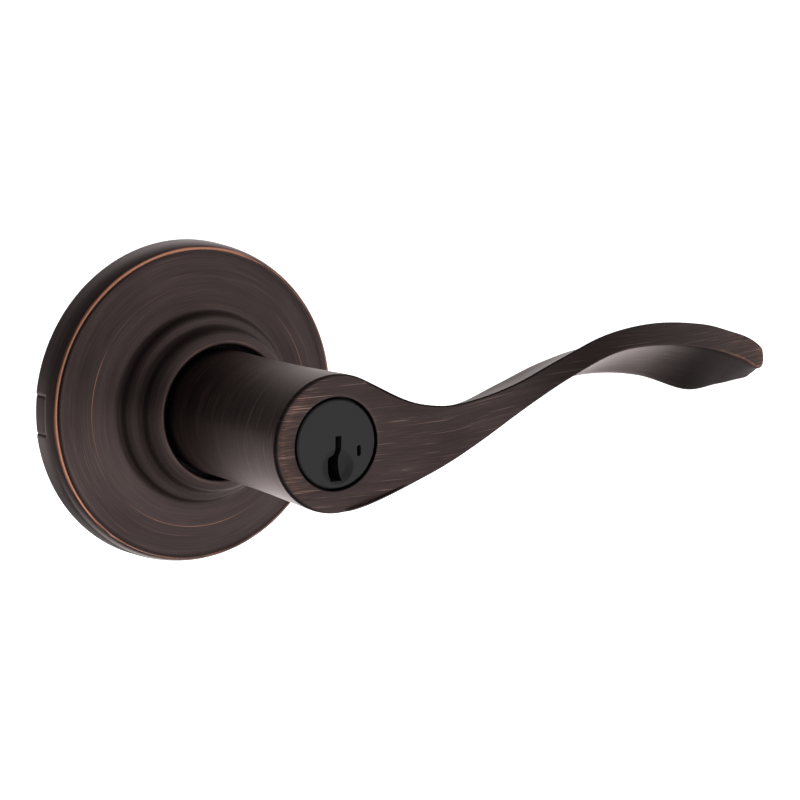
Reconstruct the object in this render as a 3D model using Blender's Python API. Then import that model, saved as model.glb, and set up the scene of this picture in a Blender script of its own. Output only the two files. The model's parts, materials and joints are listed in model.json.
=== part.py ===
"""Outside half of a keyed lever lockset: rose, sprung lever and the key cylinder inside it.

Frame: the origin is where the spindle's axis meets the door's face. -Y points out of the door,
+X along the lever and +Z up. "Depth" is a distance in front of the door's face, so y = -depth.
Lengths are in millimetres and become metres when a mesh is made.
"""

import math

import bmesh
import bpy
from mathutils import Matrix, Vector

MM = 0.001
GAP = 0.3

# --- Driving dimensions, mm ---
ROSE_R = 33.35
ROSE_BORE_R = 14.0
PLATE_R = 31.6
PLATE_FRONT = 1.6
CAGE_R = 15.2
CAGE_BORE_R = 14.0
CAGE_FOOT = 1.9
CAGE_FOOT_THICK = 1.2
CAGE_TOP = 14.2
CAGE_MOUTH_R = 10.4
CAGE_SCREW_Z = 20.0
POST_X = 19.05
POST_LENGTH = 14.5
POST_POCKET = 0.5

TUBE_R = 10.0
TUBE_BORE_R = 8.6
TUBE_REAR = 3.6
TUBE_FRONT = 30.7
TUBE_WALL = 1.6
RING_DEPTH = 14.6
RING_THICK = 1.0
SPINDLE_HALF = 4.0
SPINDLE_BACK = -38.0

NECK_REAR = 17.2
NECK_BORE_R = 10.3
FACE = 65.5
FACE_HOLE_R = 9.7
FACE_SHOULDER = 62.9
HUB_R = 14.3
CATCH_DEPTH = 24.0

HOUSING_R = 10.05
HOUSING_BORE_R = 8.65
PLUG_R = 8.4
PLUG_REAR = 34.6
PLUG_FACE_R = 9.1
PLUG_FACE = 65.5
CLIP_DEPTH = 31.0
TAIL_BACK = -44.0

PIN_COUNT = 5
PIN_PITCH = 3.8
PIN_FIRST = 58.0
PIN_X = 0.3
PIN_R = 1.1
PIN_FOOT_Z = -1.2
PIN_LENGTH = 4.2
SIDEBAR_REAR = 41.0
SIDEBAR_FRONT = 60.0
SIDEBAR_Z = 1.5

# Keyway outline on the plug's face, as (x, z).
KEYWAY = [(-0.2, 1.6), (1.22, 1.6), (1.2, -1.5), (0.95, -3.0), (0.95, -4.6), (1.2, -6.2), (1.45, -7.7),
          (-1.2, -7.7), (-1.35, -6.8), (-1.55, -4.8), (-1.5, -2.9), (-0.2, -2.2)]

# The lever's four long edges, as (x, depth, z): front upper, front lower, back lower, back upper.
FRONT_UPPER = [(4, 65.5, 13.3), (9, 65.5, 11.4), (16, 65.5, 7.8), (26, 64.1, 5.6), (36, 61.0, 5.7),
               (48, 57.2, 7.4), (60, 54.5, 11.1), (72, 53.0, 15.0), (84, 52.3, 16.2), (96, 51.5, 15.0),
               (104, 50.8, 12.6), (109, 50.3, 10.2), (112, 50.0, 7.6)]
FRONT_LOWER = [(4, 65.5, -13.0), (9, 65.5, -12.4), (16, 65.5, -10.3), (26, 65.0, -6.3), (36, 63.4, -2.1),
               (48, 60.9, 3.3), (60, 59.0, 8.2), (72, 58.0, 12.0), (84, 57.2, 12.4), (96, 55.9, 10.2),
               (104, 54.2, 7.5), (109, 52.9, 5.0), (112, 52.0, 3.6)]
BACK_LOWER = [(4, 48.0, -12.2), (9, 49.5, -11.6), (16, 52.0, -9.8), (26, 53.4, -6.4), (36, 52.6, -2.6),
              (48, 50.0, 1.6), (60, 47.5, 4.8), (72, 46.0, 5.8), (84, 45.4, 4.3), (96, 44.6, 0.6),
              (104, 44.1, 0.6), (109, 43.6, 1.3), (112, 43.3, 1.9)]
BACK_UPPER = [(4, 48.0, 12.2), (9, 49.0, 10.6), (16, 51.0, 6.9), (26, 52.4, 3.9), (36, 51.4, 3.1),
              (48, 48.2, 5.8), (60, 45.5, 8.8), (72, 44.0, 10.4), (84, 43.0, 9.0), (96, 42.2, 5.4),
              (104, 42.2, 4.2), (109, 42.4, 4.0), (112, 42.6, 3.8)]
LEVER_EDGE_R = 0.8
LEVER_CROWN = 0.35
LEVER_ENDS = (4.0, 111.6)
LEVER_STATIONS = 25


# --- Tools ---

def clear_scene():
    for obj in list(bpy.data.objects):
        bpy.data.objects.remove(obj, do_unlink=True)


def finish(name, colour, roughness, metallic):
    """A plain Principled finish for one kind of material."""
    material = bpy.data.materials.new(name)
    material.use_nodes = True
    shader = material.node_tree.nodes["Principled BSDF"]
    shader.inputs["Base Color"].default_value = (*colour, 1.0)
    shader.inputs["Roughness"].default_value = roughness
    shader.inputs["Metallic"].default_value = metallic
    return material


def make_object(name, bm, material, at=(0, 0, 0), parent=None):
    """Writes a bmesh in millimetres to a named object in metres, placed at a point in millimetres."""
    bmesh.ops.recalc_face_normals(bm, faces=bm.faces)
    bmesh.ops.scale(bm, vec=(MM, MM, MM), verts=bm.verts)
    mesh = bpy.data.meshes.new(name)
    bm.to_mesh(mesh)
    bm.free()
    mesh.shade_smooth()
    mesh.set_sharp_from_angle(angle=math.radians(32))
    obj = bpy.data.objects.new(name, mesh)
    bpy.context.scene.collection.objects.link(obj)
    if material:
        mesh.materials.append(material)
    obj.location = Vector(at) * MM
    obj.parent = parent
    return obj


def axis_empty(name, at=(0, 0, 0), parent=None):
    empty = bpy.data.objects.new(name, None)
    bpy.context.scene.collection.objects.link(empty)
    empty.location = Vector(at) * MM
    empty.parent = parent
    return empty


def lathe(name, profile, material, segments=32, along="Y", **place):
    """Turns a profile of (radius, height) points once round an axis.

    Height is depth, towards -Y, when along is "Y", and +Z when along is "Z". A profile whose two ends
    lie on the axis makes a solid; any other profile is closed on itself and makes a ring. A flat end
    becomes one round face.
    """
    bm = bmesh.new()
    rise = Vector((0, -1, 0)) if along == "Y" else Vector((0, 0, 1))
    points = [bm.verts.new(Vector((radius, 0, 0)) + rise * height) for radius, height in profile]
    edges = [bm.edges.new(pair) for pair in zip(points, points[1:])]
    if profile[0][0] > 0 or profile[-1][0] > 0:
        edges.append(bm.edges.new((points[-1], points[0])))
    bmesh.ops.spin(bm, geom=points + edges, cent=(0, 0, 0), axis=rise, angle=math.tau, steps=segments)
    bmesh.ops.remove_doubles(bm, verts=bm.verts, dist=1e-4)
    for (radius, height), beside in ((profile[0], profile[1]), (profile[-1], profile[-2])):
        if radius == 0 and beside[1] == height:
            middle = min(bm.verts, key=lambda vert: (vert.co - rise * height).length)
            bmesh.ops.dissolve_verts(bm, verts=[middle])
    return make_object(name, bm, material, **place)


def block(name, low, high, material, **place):
    """A box between two corners given as (x, depth, z)."""
    bm = bmesh.new()
    bmesh.ops.create_cube(bm, size=1.0)
    size = [high[0] - low[0], high[1] - low[1], high[2] - low[2]]
    middle = [(low[0] + high[0]) / 2, -(low[1] + high[1]) / 2, (low[2] + high[2]) / 2]
    bmesh.ops.scale(bm, vec=size, verts=bm.verts)
    bmesh.ops.translate(bm, vec=middle, verts=bm.verts)
    return make_object(name, bm, material, **place)


def prism(name, outline, rear, front, material, **place):
    """An (x, z) outline carried along the depth axis from rear to front."""
    bm = bmesh.new()
    face = bm.faces.new([bm.verts.new((x, -rear, z)) for x, z in outline])
    run = bmesh.ops.extrude_face_region(bm, geom=[face])
    moved = [item for item in run["geom"] if isinstance(item, bmesh.types.BMVert)]
    bmesh.ops.translate(bm, vec=(0, rear - front, 0), verts=moved)
    return make_object(name, bm, material, **place)


def disc(name, radius, rear, front, material=None, segments=32, **place):
    """A round bar along the depth axis."""
    profile = [(0, rear), (radius, rear), (radius, front), (0, front)]
    return lathe(name, profile, material, segments, **place)


def upright(name, radius, low, high, material=None, segments=20, **place):
    """A round bar along Z."""
    profile = [(0, low), (radius, low), (radius, high), (0, high)]
    return lathe(name, profile, material, segments, along="Z", **place)


def combine(target, *tools, operation="DIFFERENCE"):
    """Cuts tools from a target, or joins them to it, and hides the tools."""
    for tool in tools:
        tool.hide_render = True
        tool.display_type = "WIRE"
        change = target.modifiers.new(tool.name, "BOOLEAN")
        change.operation = operation
        change.object = tool
    return target


def coil(name, radius, wire, low, high, turns, sides, steps, material, along="Y", tail=0.0, **place):
    """A round wire on a helix. tail is a straight end that leaves the last turn along the axis."""
    path = []
    for k in range(int(turns * steps) + 1):
        turn = math.tau * k / steps
        height = low + (high - low) * k / (turns * steps)
        path.append(Vector((radius * math.cos(turn), height, radius * math.sin(turn))))
    if tail:
        path.append(path[-1] + Vector((0, tail, 0)))
    bm = bmesh.new()
    rings = []
    for k, point in enumerate(path):
        ahead = path[min(k + 1, len(path) - 1)] - path[max(k - 1, 0)]
        out = Vector((point.x, 0, point.z)).normalized()
        side = ahead.cross(out).normalized()
        turned = [math.tau * n / sides for n in range(sides)]
        rings.append([bm.verts.new(point + wire * (out * math.cos(a) + side * math.sin(a)))
                      for a in turned])
    for near, far in zip(rings, rings[1:]):
        for n in range(sides):
            bm.faces.new((near[n - 1], near[n], far[n], far[n - 1]))
    bm.faces.new(rings[0])
    bm.faces.new(rings[-1])
    quarter = math.radians(90 if along == "Z" else 180)
    bmesh.ops.rotate(bm, verts=bm.verts, cent=(0, 0, 0), matrix=Matrix.Rotation(quarter, 3, "X"))
    if along == "X":
        bmesh.ops.rotate(bm, verts=bm.verts, cent=(0, 0, 0), matrix=Matrix.Rotation(math.pi / 2, 3, "Z"))
    return make_object(name, bm, material, **place)


def along_guide(points, x):
    """The (depth, z) of a long edge at x, on a smooth curve through its points."""
    k = max(i for i in range(len(points) - 1) if points[i][0] <= x or i == 0)
    (x0, *near), (x1, *far) = points[k], points[k + 1]
    t = (x - x0) / (x1 - x0)
    result = []
    for axis in (1, 2):
        before = points[max(k - 1, 0)]
        after = points[min(k + 2, len(points) - 1)]
        slope_near = (far[axis - 1] - before[axis]) / (x1 - before[0]) * (x1 - x0)
        slope_far = (after[axis] - near[axis - 1]) / (after[0] - x0) * (x1 - x0)
        result.append((2 * t**3 - 3 * t**2 + 1) * near[axis - 1] + (t**3 - 2 * t**2 + t) * slope_near
                      + (3 * t**2 - 2 * t**3) * far[axis - 1] + (t**3 - t**2) * slope_far)
    return Vector(result)


def rounded_section(corners, radius, crown):
    """A four-sided outline with rounded corners and slightly crowned sides."""
    outline = []
    middle = sum(corners, Vector((0, 0))) / 4
    for k, corner in enumerate(corners):
        before, after = corners[k - 1], corners[(k + 1) % 4]
        start = corner + (before - corner).normalized() * radius
        end = corner + (after - corner).normalized() * radius
        side = (corner + after) / 2
        outline += [start, (start + 2 * corner + end) / 4, end,
                    side + (side - middle).normalized() * crown]
    return outline


# --- Sub-parts fixed to the door ---

def rose(bronze):
    """The round trim plate: a rolled rim, a shallow cone and a stepped collar round the neck."""
    outside = [(ROSE_R, 0), (ROSE_R, 3.0), (33.0, 5.5), (32.5, 6.9), (31.2, 6.8), (28.0, 8.3), (21.0, 10.7),
               (19.3, 11.6), (18.4, 13.0), (17.8, 15.2), (16.4, 17.3), (15.6, 18.7), (14.8, 20.0),
               (ROSE_BORE_R, 20.2)]
    inside = [(ROSE_BORE_R, 19.2), (15.1, 17.0), (16.5, 14.6), (17.3, 12.0), (21.0, 9.4), (28.0, 7.1),
              (32.1, 5.0), (32.1, 0)]
    trim = lathe("rose", outside + inside, bronze, segments=48)
    notch = block("cut_pry_notch", (-ROSE_R - 1, -1, -4.6), (-ROSE_R + 0.55, 3.9, 3.8), None)
    return combine(trim, notch)


def mounting_plate(steel):
    """The flat disc that bears on the door, with holes for the spindle, posts and cage screws."""
    plate = disc("mounting_plate", PLATE_R, 0, PLATE_FRONT, steel, segments=48)
    cuts = [disc("cut_spindle_way", 7.2, -1, 3)]
    for side in (-1, 1):
        cuts.append(disc(f"cut_tenon{side}", 2.5, -1, 3, segments=16, at=(side * POST_X, 0, 0)))
        cuts.append(disc(f"cut_pocket{side}", 4.4, -1, POST_POCKET, segments=16, at=(side * POST_X, 0, 0)))
        cuts.append(disc(f"cut_plate_screw{side}", 1.6, -1, 3, segments=16, at=(0, 0, side * CAGE_SCREW_Z)))
    return combine(plate, *cuts)


def spring_cage(steel):
    """The cup that holds the return spring and guides the drive tube, on a two-eared foot."""
    wall = [(CAGE_R, CAGE_FOOT), (CAGE_R, CAGE_TOP), (CAGE_MOUTH_R, CAGE_TOP),
            (CAGE_MOUTH_R, CAGE_TOP - 1.2), (CAGE_BORE_R, CAGE_TOP - 1.2), (CAGE_BORE_R, CAGE_FOOT)]
    cage = lathe("spring_cage", wall, steel, segments=40)
    foot_front = CAGE_FOOT + CAGE_FOOT_THICK
    foot = block("join_cage_foot", (-7.5, CAGE_FOOT, -24.5), (7.5, foot_front, 24.5), None)
    combine(foot, disc("cut_foot_middle", (CAGE_R + CAGE_BORE_R) / 2, 0, 6, segments=40))
    combine(cage, foot, operation="UNION")
    cuts = [disc("cut_spring_tail", 0.9, 11, 16, segments=12, at=(12.1, 0, 0))]
    for side in (-1, 1):
        cuts.append(disc(f"cut_cage_screw{side}", 1.6, 1, 5, segments=16, at=(0, 0, side * CAGE_SCREW_Z)))
    return combine(cage, *cuts)


def cage_screw(name, z, steel):
    """A slotted cheese-head screw that clamps the cage to the plate."""
    seat = CAGE_FOOT + CAGE_FOOT_THICK + GAP
    profile = [(0, 0.3), (1.3, 0.3), (1.3, seat), (2.7, seat), (2.7, seat + 1.5), (2.4, seat + 1.8),
               (0, seat + 1.8)]
    screw = lathe(name, profile, steel, segments=20, at=(0, 0, z))
    slot = block(f"cut_{name}", (-3, seat + 1.1, z - 0.4), (3, seat + 3, z + 0.4), None)
    return combine(screw, slot)


def post(name, x, steel):
    """A tapped post behind the plate that takes a through bolt; its tenon is peened over in front."""
    shoulder = POST_POCKET - GAP
    profile = [(0, 2.7), (2.6, 2.7), (3.1, 2.3), (3.1, PLATE_FRONT + GAP), (2.2, PLATE_FRONT + GAP),
               (2.2, shoulder), (4.0, shoulder), (4.0, -POST_LENGTH), (1.9, -POST_LENGTH), (1.9, -1.2),
               (0, -1.2)]
    return lathe(name, profile, steel, segments=16, at=(x, 0, 0))


def thrust_washer(nylon):
    ring = [(8.2, 1.9), (13.6, 1.9), (13.6, TUBE_REAR - GAP), (8.2, TUBE_REAR - GAP)]
    return lathe("thrust_washer", ring, nylon, segments=32)


def return_spring(spring_steel):
    """The torsion spring that brings the lever level again; one end is hooked through the cage's top."""
    return coil("return_spring", 12.1, 0.55, 6.4, 12.0, turns=4, sides=5, steps=18,
                material=spring_steel, tail=2.0)


# --- Sub-parts that turn with the lever ---

def lever_bar():
    """The twisted bar, lofted through rounded sections between its four long edges."""
    bm = bmesh.new()
    rings = []
    start, end = LEVER_ENDS
    for k in range(LEVER_STATIONS + 1):
        share = min(k, LEVER_STATIONS - 1) / (LEVER_STATIONS - 1)
        x = start + (end - start) * math.sin(share * math.pi / 2) ** 0.85
        corners = [along_guide(edge, x) for edge in (FRONT_UPPER, FRONT_LOWER, BACK_LOWER, BACK_UPPER)]
        outline = rounded_section(corners, LEVER_EDGE_R, LEVER_CROWN)
        if k == LEVER_STATIONS:
            x += 0.5
            middle = sum(corners, Vector((0, 0))) / 4
            outline = [point + (middle - point).normalized() * 0.5 for point in outline]
        rings.append([bm.verts.new((x, -depth, z)) for depth, z in outline])
    for near, far in zip(rings, rings[1:]):
        for n in range(len(near)):
            bm.faces.new((near[n - 1], near[n], far[n], far[n - 1]))
    bm.faces.new(rings[0])
    bm.faces.new(rings[-1])
    return make_object("join_lever_bar", bm, None)


def lever_handle(bronze, axis):
    """The cast lever: a flared neck, a flat face with the cylinder's hole, and the bar."""
    neck = [(0, NECK_REAR), (12.7, NECK_REAR), (13.0, NECK_REAR + 0.4), (13.02, 25), (13.15, 35), (13.45, 46),
            (13.85, 55), (14.2, 62), (HUB_R, 65.0), (HUB_R - 0.5, FACE), (0, FACE)]
    handle = lathe("lever_handle", neck, bronze, segments=56, parent=axis)
    combine(handle, lever_bar(), operation="UNION")
    bore = [(0, NECK_REAR - 2), (NECK_BORE_R, NECK_REAR - 2), (NECK_BORE_R, FACE_SHOULDER),
            (FACE_HOLE_R, FACE_SHOULDER), (FACE_HOLE_R, FACE + 2), (0, FACE + 2)]
    catch_hole = upright("cut_catch_hole", 2.0, -16, -8, at=(0, -CATCH_DEPTH, 0))
    return combine(handle, lathe("cut_neck_bore", bore, None, segments=40), catch_hole)


def drive_tube(steel, axis):
    """The tube that carries the lever: a flange under the spring, a ring groove and the catch's window."""
    inner = TUBE_REAR + TUBE_WALL
    groove = [(TUBE_R, RING_DEPTH - 0.15), (9.4, RING_DEPTH - 0.15), (9.4, RING_DEPTH + RING_THICK + 0.15),
              (TUBE_R, RING_DEPTH + RING_THICK + 0.15)]
    profile = [(0, TUBE_REAR), (13.6, TUBE_REAR), (13.6, inner), (TUBE_R, inner), *groove,
               (TUBE_R, TUBE_FRONT), (TUBE_BORE_R, TUBE_FRONT), (TUBE_BORE_R, inner), (0, inner)]
    tube = lathe("drive_tube", profile, steel, segments=36, parent=axis)
    half = SPINDLE_HALF + GAP
    way = block("cut_spindle_square", (-half, 2, -half), (half, 7, half), None)
    window = upright("cut_catch_window", 2.0, -12, -6, at=(0, -CATCH_DEPTH, 0))
    return combine(tube, way, window)


def spindle(steel, axis):
    """The square drive bar to the latch, hollow for the tailpiece and a little thinner inside the set."""
    front = TUBE_REAR + TUBE_WALL + GAP + 4
    half, neck = SPINDLE_HALF, SPINDLE_HALF - 0.2
    bar = block("spindle", (-half, SPINDLE_BACK, -half), (half, -1, half), steel, parent=axis)
    combine(bar, block("join_neck", (-neck, -2, -neck), (neck, front, neck), None), operation="UNION")
    collar_rear = TUBE_REAR + TUBE_WALL + GAP
    combine(bar, disc("join_collar", 7.5, collar_rear, collar_rear + 1.5), operation="UNION")
    return combine(bar, disc("cut_spindle_bore", 3.0, SPINDLE_BACK - 2, front + 2, segments=24))


def split_ring(name, inner, outer, rear, thick, opening, steel, axis):
    """A flat spring ring with a gap at the top."""
    profile = [(inner, rear), (outer, rear), (outer, rear + thick), (inner, rear + thick)]
    ring = lathe(name, profile, steel, segments=32, parent=axis)
    half = opening / 2
    return combine(ring, block(f"cut_{name}", (-half, rear - 1, 0), (half, rear + 3, outer + 2), None))


def cylinder_housing(black, axis):
    """The fixed shell of the key cylinder, with grooves that the sidebar springs into."""
    profile = [(HOUSING_R, TUBE_FRONT + GAP), (HOUSING_R, FACE_SHOULDER - GAP),
               (HOUSING_BORE_R, FACE_SHOULDER - GAP), (HOUSING_BORE_R, PLUG_REAR - GAP),
               (5.9, PLUG_REAR - GAP), (5.9, CLIP_DEPTH + 1.2), (8.6, CLIP_DEPTH + 1.2),
               (8.6, TUBE_FRONT + GAP)]
    shell = lathe("cylinder_housing", profile, black, segments=40, parent=axis)
    for turn in (-90, 0, 90):
        low = (0, SIDEBAR_REAR - 0.5, SIDEBAR_Z - 1.4)
        groove = block(f"cut_groove{turn}", low, (8.95, SIDEBAR_FRONT + 0.5, SIDEBAR_Z + 1.4), None)
        groove.rotation_euler = (0, math.radians(turn), 0)
        combine(shell, groove)
    return shell


# --- The key plug and what it carries ---

def pin_depth(k):
    return PIN_FIRST - k * PIN_PITCH


def key_plug(black, axis):
    """The plug that the key turns: a wide face, a barrel with chambers, and a necked rear end."""
    profile = [(0, PLUG_FACE), (PLUG_FACE_R - 0.25, PLUG_FACE), (PLUG_FACE_R, PLUG_FACE - 0.25),
               (PLUG_FACE_R, FACE_SHOULDER), (PLUG_R, FACE_SHOULDER), (PLUG_R, PLUG_REAR), (5.6, PLUG_REAR),
               (5.6, CLIP_DEPTH + 1.0), (4.9, CLIP_DEPTH + 1.0), (4.9, CLIP_DEPTH - 0.15),
               (5.6, CLIP_DEPTH - 0.15), (5.6, CLIP_DEPTH - 0.6), (0, CLIP_DEPTH - 0.6)]
    plug = lathe("key_plug", profile, black, segments=40, parent=axis)
    dimple = [(0, PLUG_FACE - 1.0), (2.2, PLUG_FACE - 0.8), (3.75, PLUG_FACE), (3.75, PLUG_FACE + 1),
              (0, PLUG_FACE + 1)]
    slot = [(5.33 + 0.47 * math.cos(math.radians(turn)), middle + 0.47 * math.sin(math.radians(turn)))
            for middle, start in ((-1.07, 180), (-2.45, 360)) for turn in range(start, start - 181, -30)]
    cuts = [lathe("cut_dimple", dimple, None, segments=28, at=(0.35, 0, -4.65)),
            prism("cut_keyway", KEYWAY, PLUG_REAR + 2, PLUG_FACE + 2, None),
            prism("cut_tool_slot", slot, 62, PLUG_FACE + 2, None),
            block("cut_sidebar_way", (4.6, SIDEBAR_REAR - GAP, SIDEBAR_Z - 1.1),
                  (10, SIDEBAR_FRONT + GAP, SIDEBAR_Z + 1.1), None)]
    chamber_foot = PIN_FOOT_Z - GAP
    for k in range(PIN_COUNT):
        depth = pin_depth(k)
        cuts.append(upright(f"cut_chamber{k}", PIN_R + GAP, chamber_foot, 10, at=(PIN_X, -depth, 0),
                            segments=16))
        cuts.append(block(f"cut_rack_way{k}", (1.3, depth - 1.15, chamber_foot), (3.5, depth + 1.15, 10),
                          None))
    return combine(plug, *cuts)


def tailpiece(steel, axis):
    """The flat blade that carries the key's turn to the latch, full thickness behind the spindle only."""
    head_front = CLIP_DEPTH - 0.6 - GAP
    blade = block("tailpiece", (-2.3, TAIL_BACK, -0.75), (2.3, SPINDLE_BACK - 0.5, 0.75), steel, parent=axis)
    stem = block("join_stem", (-2.2, SPINDLE_BACK - 1.5, -0.6), (2.2, head_front - 0.4, 0.6), None)
    combine(blade, stem, operation="UNION")
    return combine(blade, disc("join_tail_head", 4.6, head_front - 1.3, head_front), operation="UNION")


def pin_stack(k, brass, steel, spring_steel, axis):
    """One key pin, the rack beside it that follows it, and the spring above it."""
    depth = pin_depth(k)
    carrier = axis_empty(f"pin_axis_{k + 1}", at=(PIN_X, -depth, PIN_FOOT_Z), parent=axis)
    tip = [(0, 0), (0.45, 0), (PIN_R, 0.8), (PIN_R, PIN_LENGTH), (0, PIN_LENGTH)]
    lathe(f"pin_{k + 1}", tip, brass, segments=16, along="Z", parent=carrier)
    left = PIN_R + GAP
    rack = block(f"rack_{k + 1}", (left, -0.85, 0), (left + 1.5, 0.85, PIN_LENGTH), steel, parent=carrier)
    for tooth in (0.8, 1.8, 2.8):
        low = (left + 1.1, -2, tooth)
        notch = block(f"cut_rack{k}_{tooth}", low, (left + 2, 2, tooth + 0.5), None)
        notch.location = (PIN_X * MM, -depth * MM, PIN_FOOT_Z * MM)
        combine(rack, notch)
    foot = PIN_FOOT_Z + PIN_LENGTH + 0.5
    coil(f"pin_spring_{k + 1}", 0.8, 0.17, foot, 7.6, turns=3, sides=4, steps=8,
         material=spring_steel, along="Z", at=(PIN_X, -depth, 0), parent=axis)


def sidebar(brass, axis):
    """The bar beside the pins that locks the plug to its housing when no key is in."""
    return block("sidebar", (6.2, SIDEBAR_REAR, SIDEBAR_Z - 0.8), (7.9, SIDEBAR_FRONT, SIDEBAR_Z + 0.8),
                 brass, parent=axis)


def sidebar_spring(name, depth, spring_steel, axis):
    return coil(name, 0.55, 0.13, 4.8, 5.95, turns=2, sides=4, steps=8, material=spring_steel,
                along="X", at=(0, -depth, SIDEBAR_Z), parent=axis)


# --- The catch that keeps the lever on its tube ---

def lever_catch(steel, axis):
    """A round button through the tube's window and the neck's hole, with a flange inside the tube."""
    profile = [(0, -12.7), (1.3, -12.7), (1.7, -12.3), (1.7, -7.9), (2.6, -7.9), (2.6, -7.0), (0, -7.0)]
    holder = axis_empty("catch_axis", at=(0, -CATCH_DEPTH, 0), parent=axis)
    return lathe("lever_catch", profile, steel, segments=20, along="Z", parent=holder)


def catch_spring(spring_steel, axis):
    """A bowed band inside the tube that pushes the catch outwards, its ends resting on the tube's wall."""
    bm = bmesh.new()
    rings = []
    steps = 24
    for k in range(steps + 1):
        swing = math.radians(-145 + 290 * k / steps)
        radius = 6.3 + 1.6 * (swing / math.radians(145)) ** 2
        out = Vector((math.sin(swing), 0, -math.cos(swing)))
        rings.append([bm.verts.new(out * (radius + rise) + Vector((0, -CATCH_DEPTH + run, 0)))
                      for rise, run in ((0, -2.2), (0.35, -2.2), (0.35, 2.2), (0, 2.2))])
    for near, far in zip(rings, rings[1:]):
        for n in range(4):
            bm.faces.new((near[n - 1], near[n], far[n], far[n - 1]))
    bm.faces.new(rings[0])
    bm.faces.new(rings[-1])
    return make_object("catch_spring", bm, spring_steel, parent=axis)


def build():
    clear_scene()
    bronze = finish("dark_bronze", (0.075, 0.052, 0.047), 0.38, 1.0)
    black = finish("black_plug", (0.03, 0.03, 0.032), 0.55, 0.6)
    steel = finish("zinc_steel", (0.55, 0.56, 0.58), 0.35, 1.0)
    dark_steel = finish("black_zinc", (0.06, 0.06, 0.065), 0.45, 0.8)
    brass = finish("brass", (0.72, 0.55, 0.28), 0.35, 1.0)
    spring_steel = finish("spring_steel", (0.42, 0.43, 0.45), 0.3, 1.0)
    nylon = finish("nylon", (0.8, 0.79, 0.75), 0.5, 0.0)

    rose(bronze)
    mounting_plate(steel)
    spring_cage(dark_steel)
    cage_screw("cage_screw_upper", CAGE_SCREW_Z, steel)
    cage_screw("cage_screw_lower", -CAGE_SCREW_Z, steel)
    post("post_left", -POST_X, steel)
    post("post_right", POST_X, steel)
    thrust_washer(nylon)
    return_spring(spring_steel)

    lever_axis = axis_empty("lever_axis")
    lever_handle(bronze, lever_axis)
    drive_tube(dark_steel, lever_axis)
    spindle(steel, lever_axis)
    split_ring("retaining_ring", 9.7, 11.7, RING_DEPTH, RING_THICK, 8.0, spring_steel, lever_axis)
    cylinder_housing(black, lever_axis)
    lever_catch(steel, lever_axis)
    catch_spring(spring_steel, lever_axis)

    plug_axis = axis_empty("plug_axis", parent=lever_axis)
    key_plug(black, plug_axis)
    split_ring("plug_clip", 5.2, 7.4, CLIP_DEPTH, 0.85, 5.0, spring_steel, plug_axis)
    tailpiece(steel, plug_axis)
    for k in range(PIN_COUNT):
        pin_stack(k, brass, steel, spring_steel, plug_axis)
    sidebar(brass, plug_axis)
    sidebar_spring("sidebar_spring_rear", SIDEBAR_REAR + 4.0, spring_steel, plug_axis)
    sidebar_spring("sidebar_spring_front", SIDEBAR_FRONT - 4.0, spring_steel, plug_axis)


build()
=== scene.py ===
# %% [markdown]
# # The outside half of a keyed lever set
# The packed model gives the frame: every node already lies where it belongs, in metres, with -Y out of
# the door, +X along the lever and +Z up. Here depth means the distance in front of the door, so it is -Y,
# and shapes are written in millimetres. This lesson keeps the hidden mechanism as it is, gives each
# metal its own finish, and makes the two largest visible pieces again as smooth surfaces: the rose and
# the lever. We load the frame first. The looks have to keep close to it.

# %% Load the frame
import json
import math

import bmesh
import bpy
import numpy as np
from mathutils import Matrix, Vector


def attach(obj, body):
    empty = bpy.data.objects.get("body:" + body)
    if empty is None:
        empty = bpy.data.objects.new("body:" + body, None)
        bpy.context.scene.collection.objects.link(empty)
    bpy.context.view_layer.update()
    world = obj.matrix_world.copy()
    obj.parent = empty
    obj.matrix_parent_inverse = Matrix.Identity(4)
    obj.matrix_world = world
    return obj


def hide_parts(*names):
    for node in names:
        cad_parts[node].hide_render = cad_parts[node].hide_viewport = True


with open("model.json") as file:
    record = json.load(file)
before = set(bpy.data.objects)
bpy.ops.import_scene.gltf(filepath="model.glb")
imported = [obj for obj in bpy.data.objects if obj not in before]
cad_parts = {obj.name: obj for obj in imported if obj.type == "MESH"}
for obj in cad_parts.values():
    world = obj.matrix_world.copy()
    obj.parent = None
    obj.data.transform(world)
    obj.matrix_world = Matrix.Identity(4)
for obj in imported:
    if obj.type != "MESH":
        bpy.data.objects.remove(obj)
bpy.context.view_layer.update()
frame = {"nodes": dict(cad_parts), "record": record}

nodes = frame["nodes"]
MM = 0.001
print("nodes in the frame:", len(nodes))

# %% [markdown]
# ## Camera
# A long lens from far away gives the almost parallel view of a catalogue picture. The camera's place is
# worked out from the point it looks at, its two angles and its distance.

# %% Camera
AZIMUTH = math.radians(-30.611)
ELEVATION = math.radians(9.367)
DISTANCE = 2.4831
LENS = 540.0
LOOK_RIGHT = 0.046253
LOOK_UP = -0.000241

back = Vector((math.sin(AZIMUTH) * math.cos(ELEVATION), -math.cos(AZIMUTH) * math.cos(ELEVATION),
               math.sin(ELEVATION)))
right = Vector((math.cos(AZIMUTH), math.sin(AZIMUTH), 0.0))
up = back.cross(right)
camera = bpy.data.objects.new("camera", bpy.data.cameras.new("camera"))
bpy.context.scene.collection.objects.link(camera)
camera.location = right * LOOK_RIGHT + up * LOOK_UP + back * DISTANCE
camera.rotation_euler = back.to_track_quat("Z", "Y").to_euler()
camera.data.lens = LENS
bpy.context.scene.camera = camera
print("camera at", [round(value, 3) for value in camera.location])

# %% [markdown]
# ## Writing shaders as sums
# A finish is a small network of nodes, which is hard to read when each node is placed by hand. The class
# below wraps a node's output so that plus, minus, times and divide add Math nodes, and one method adds
# any other kind of node. A finish can then be written as a few lines of arithmetic.

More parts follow.
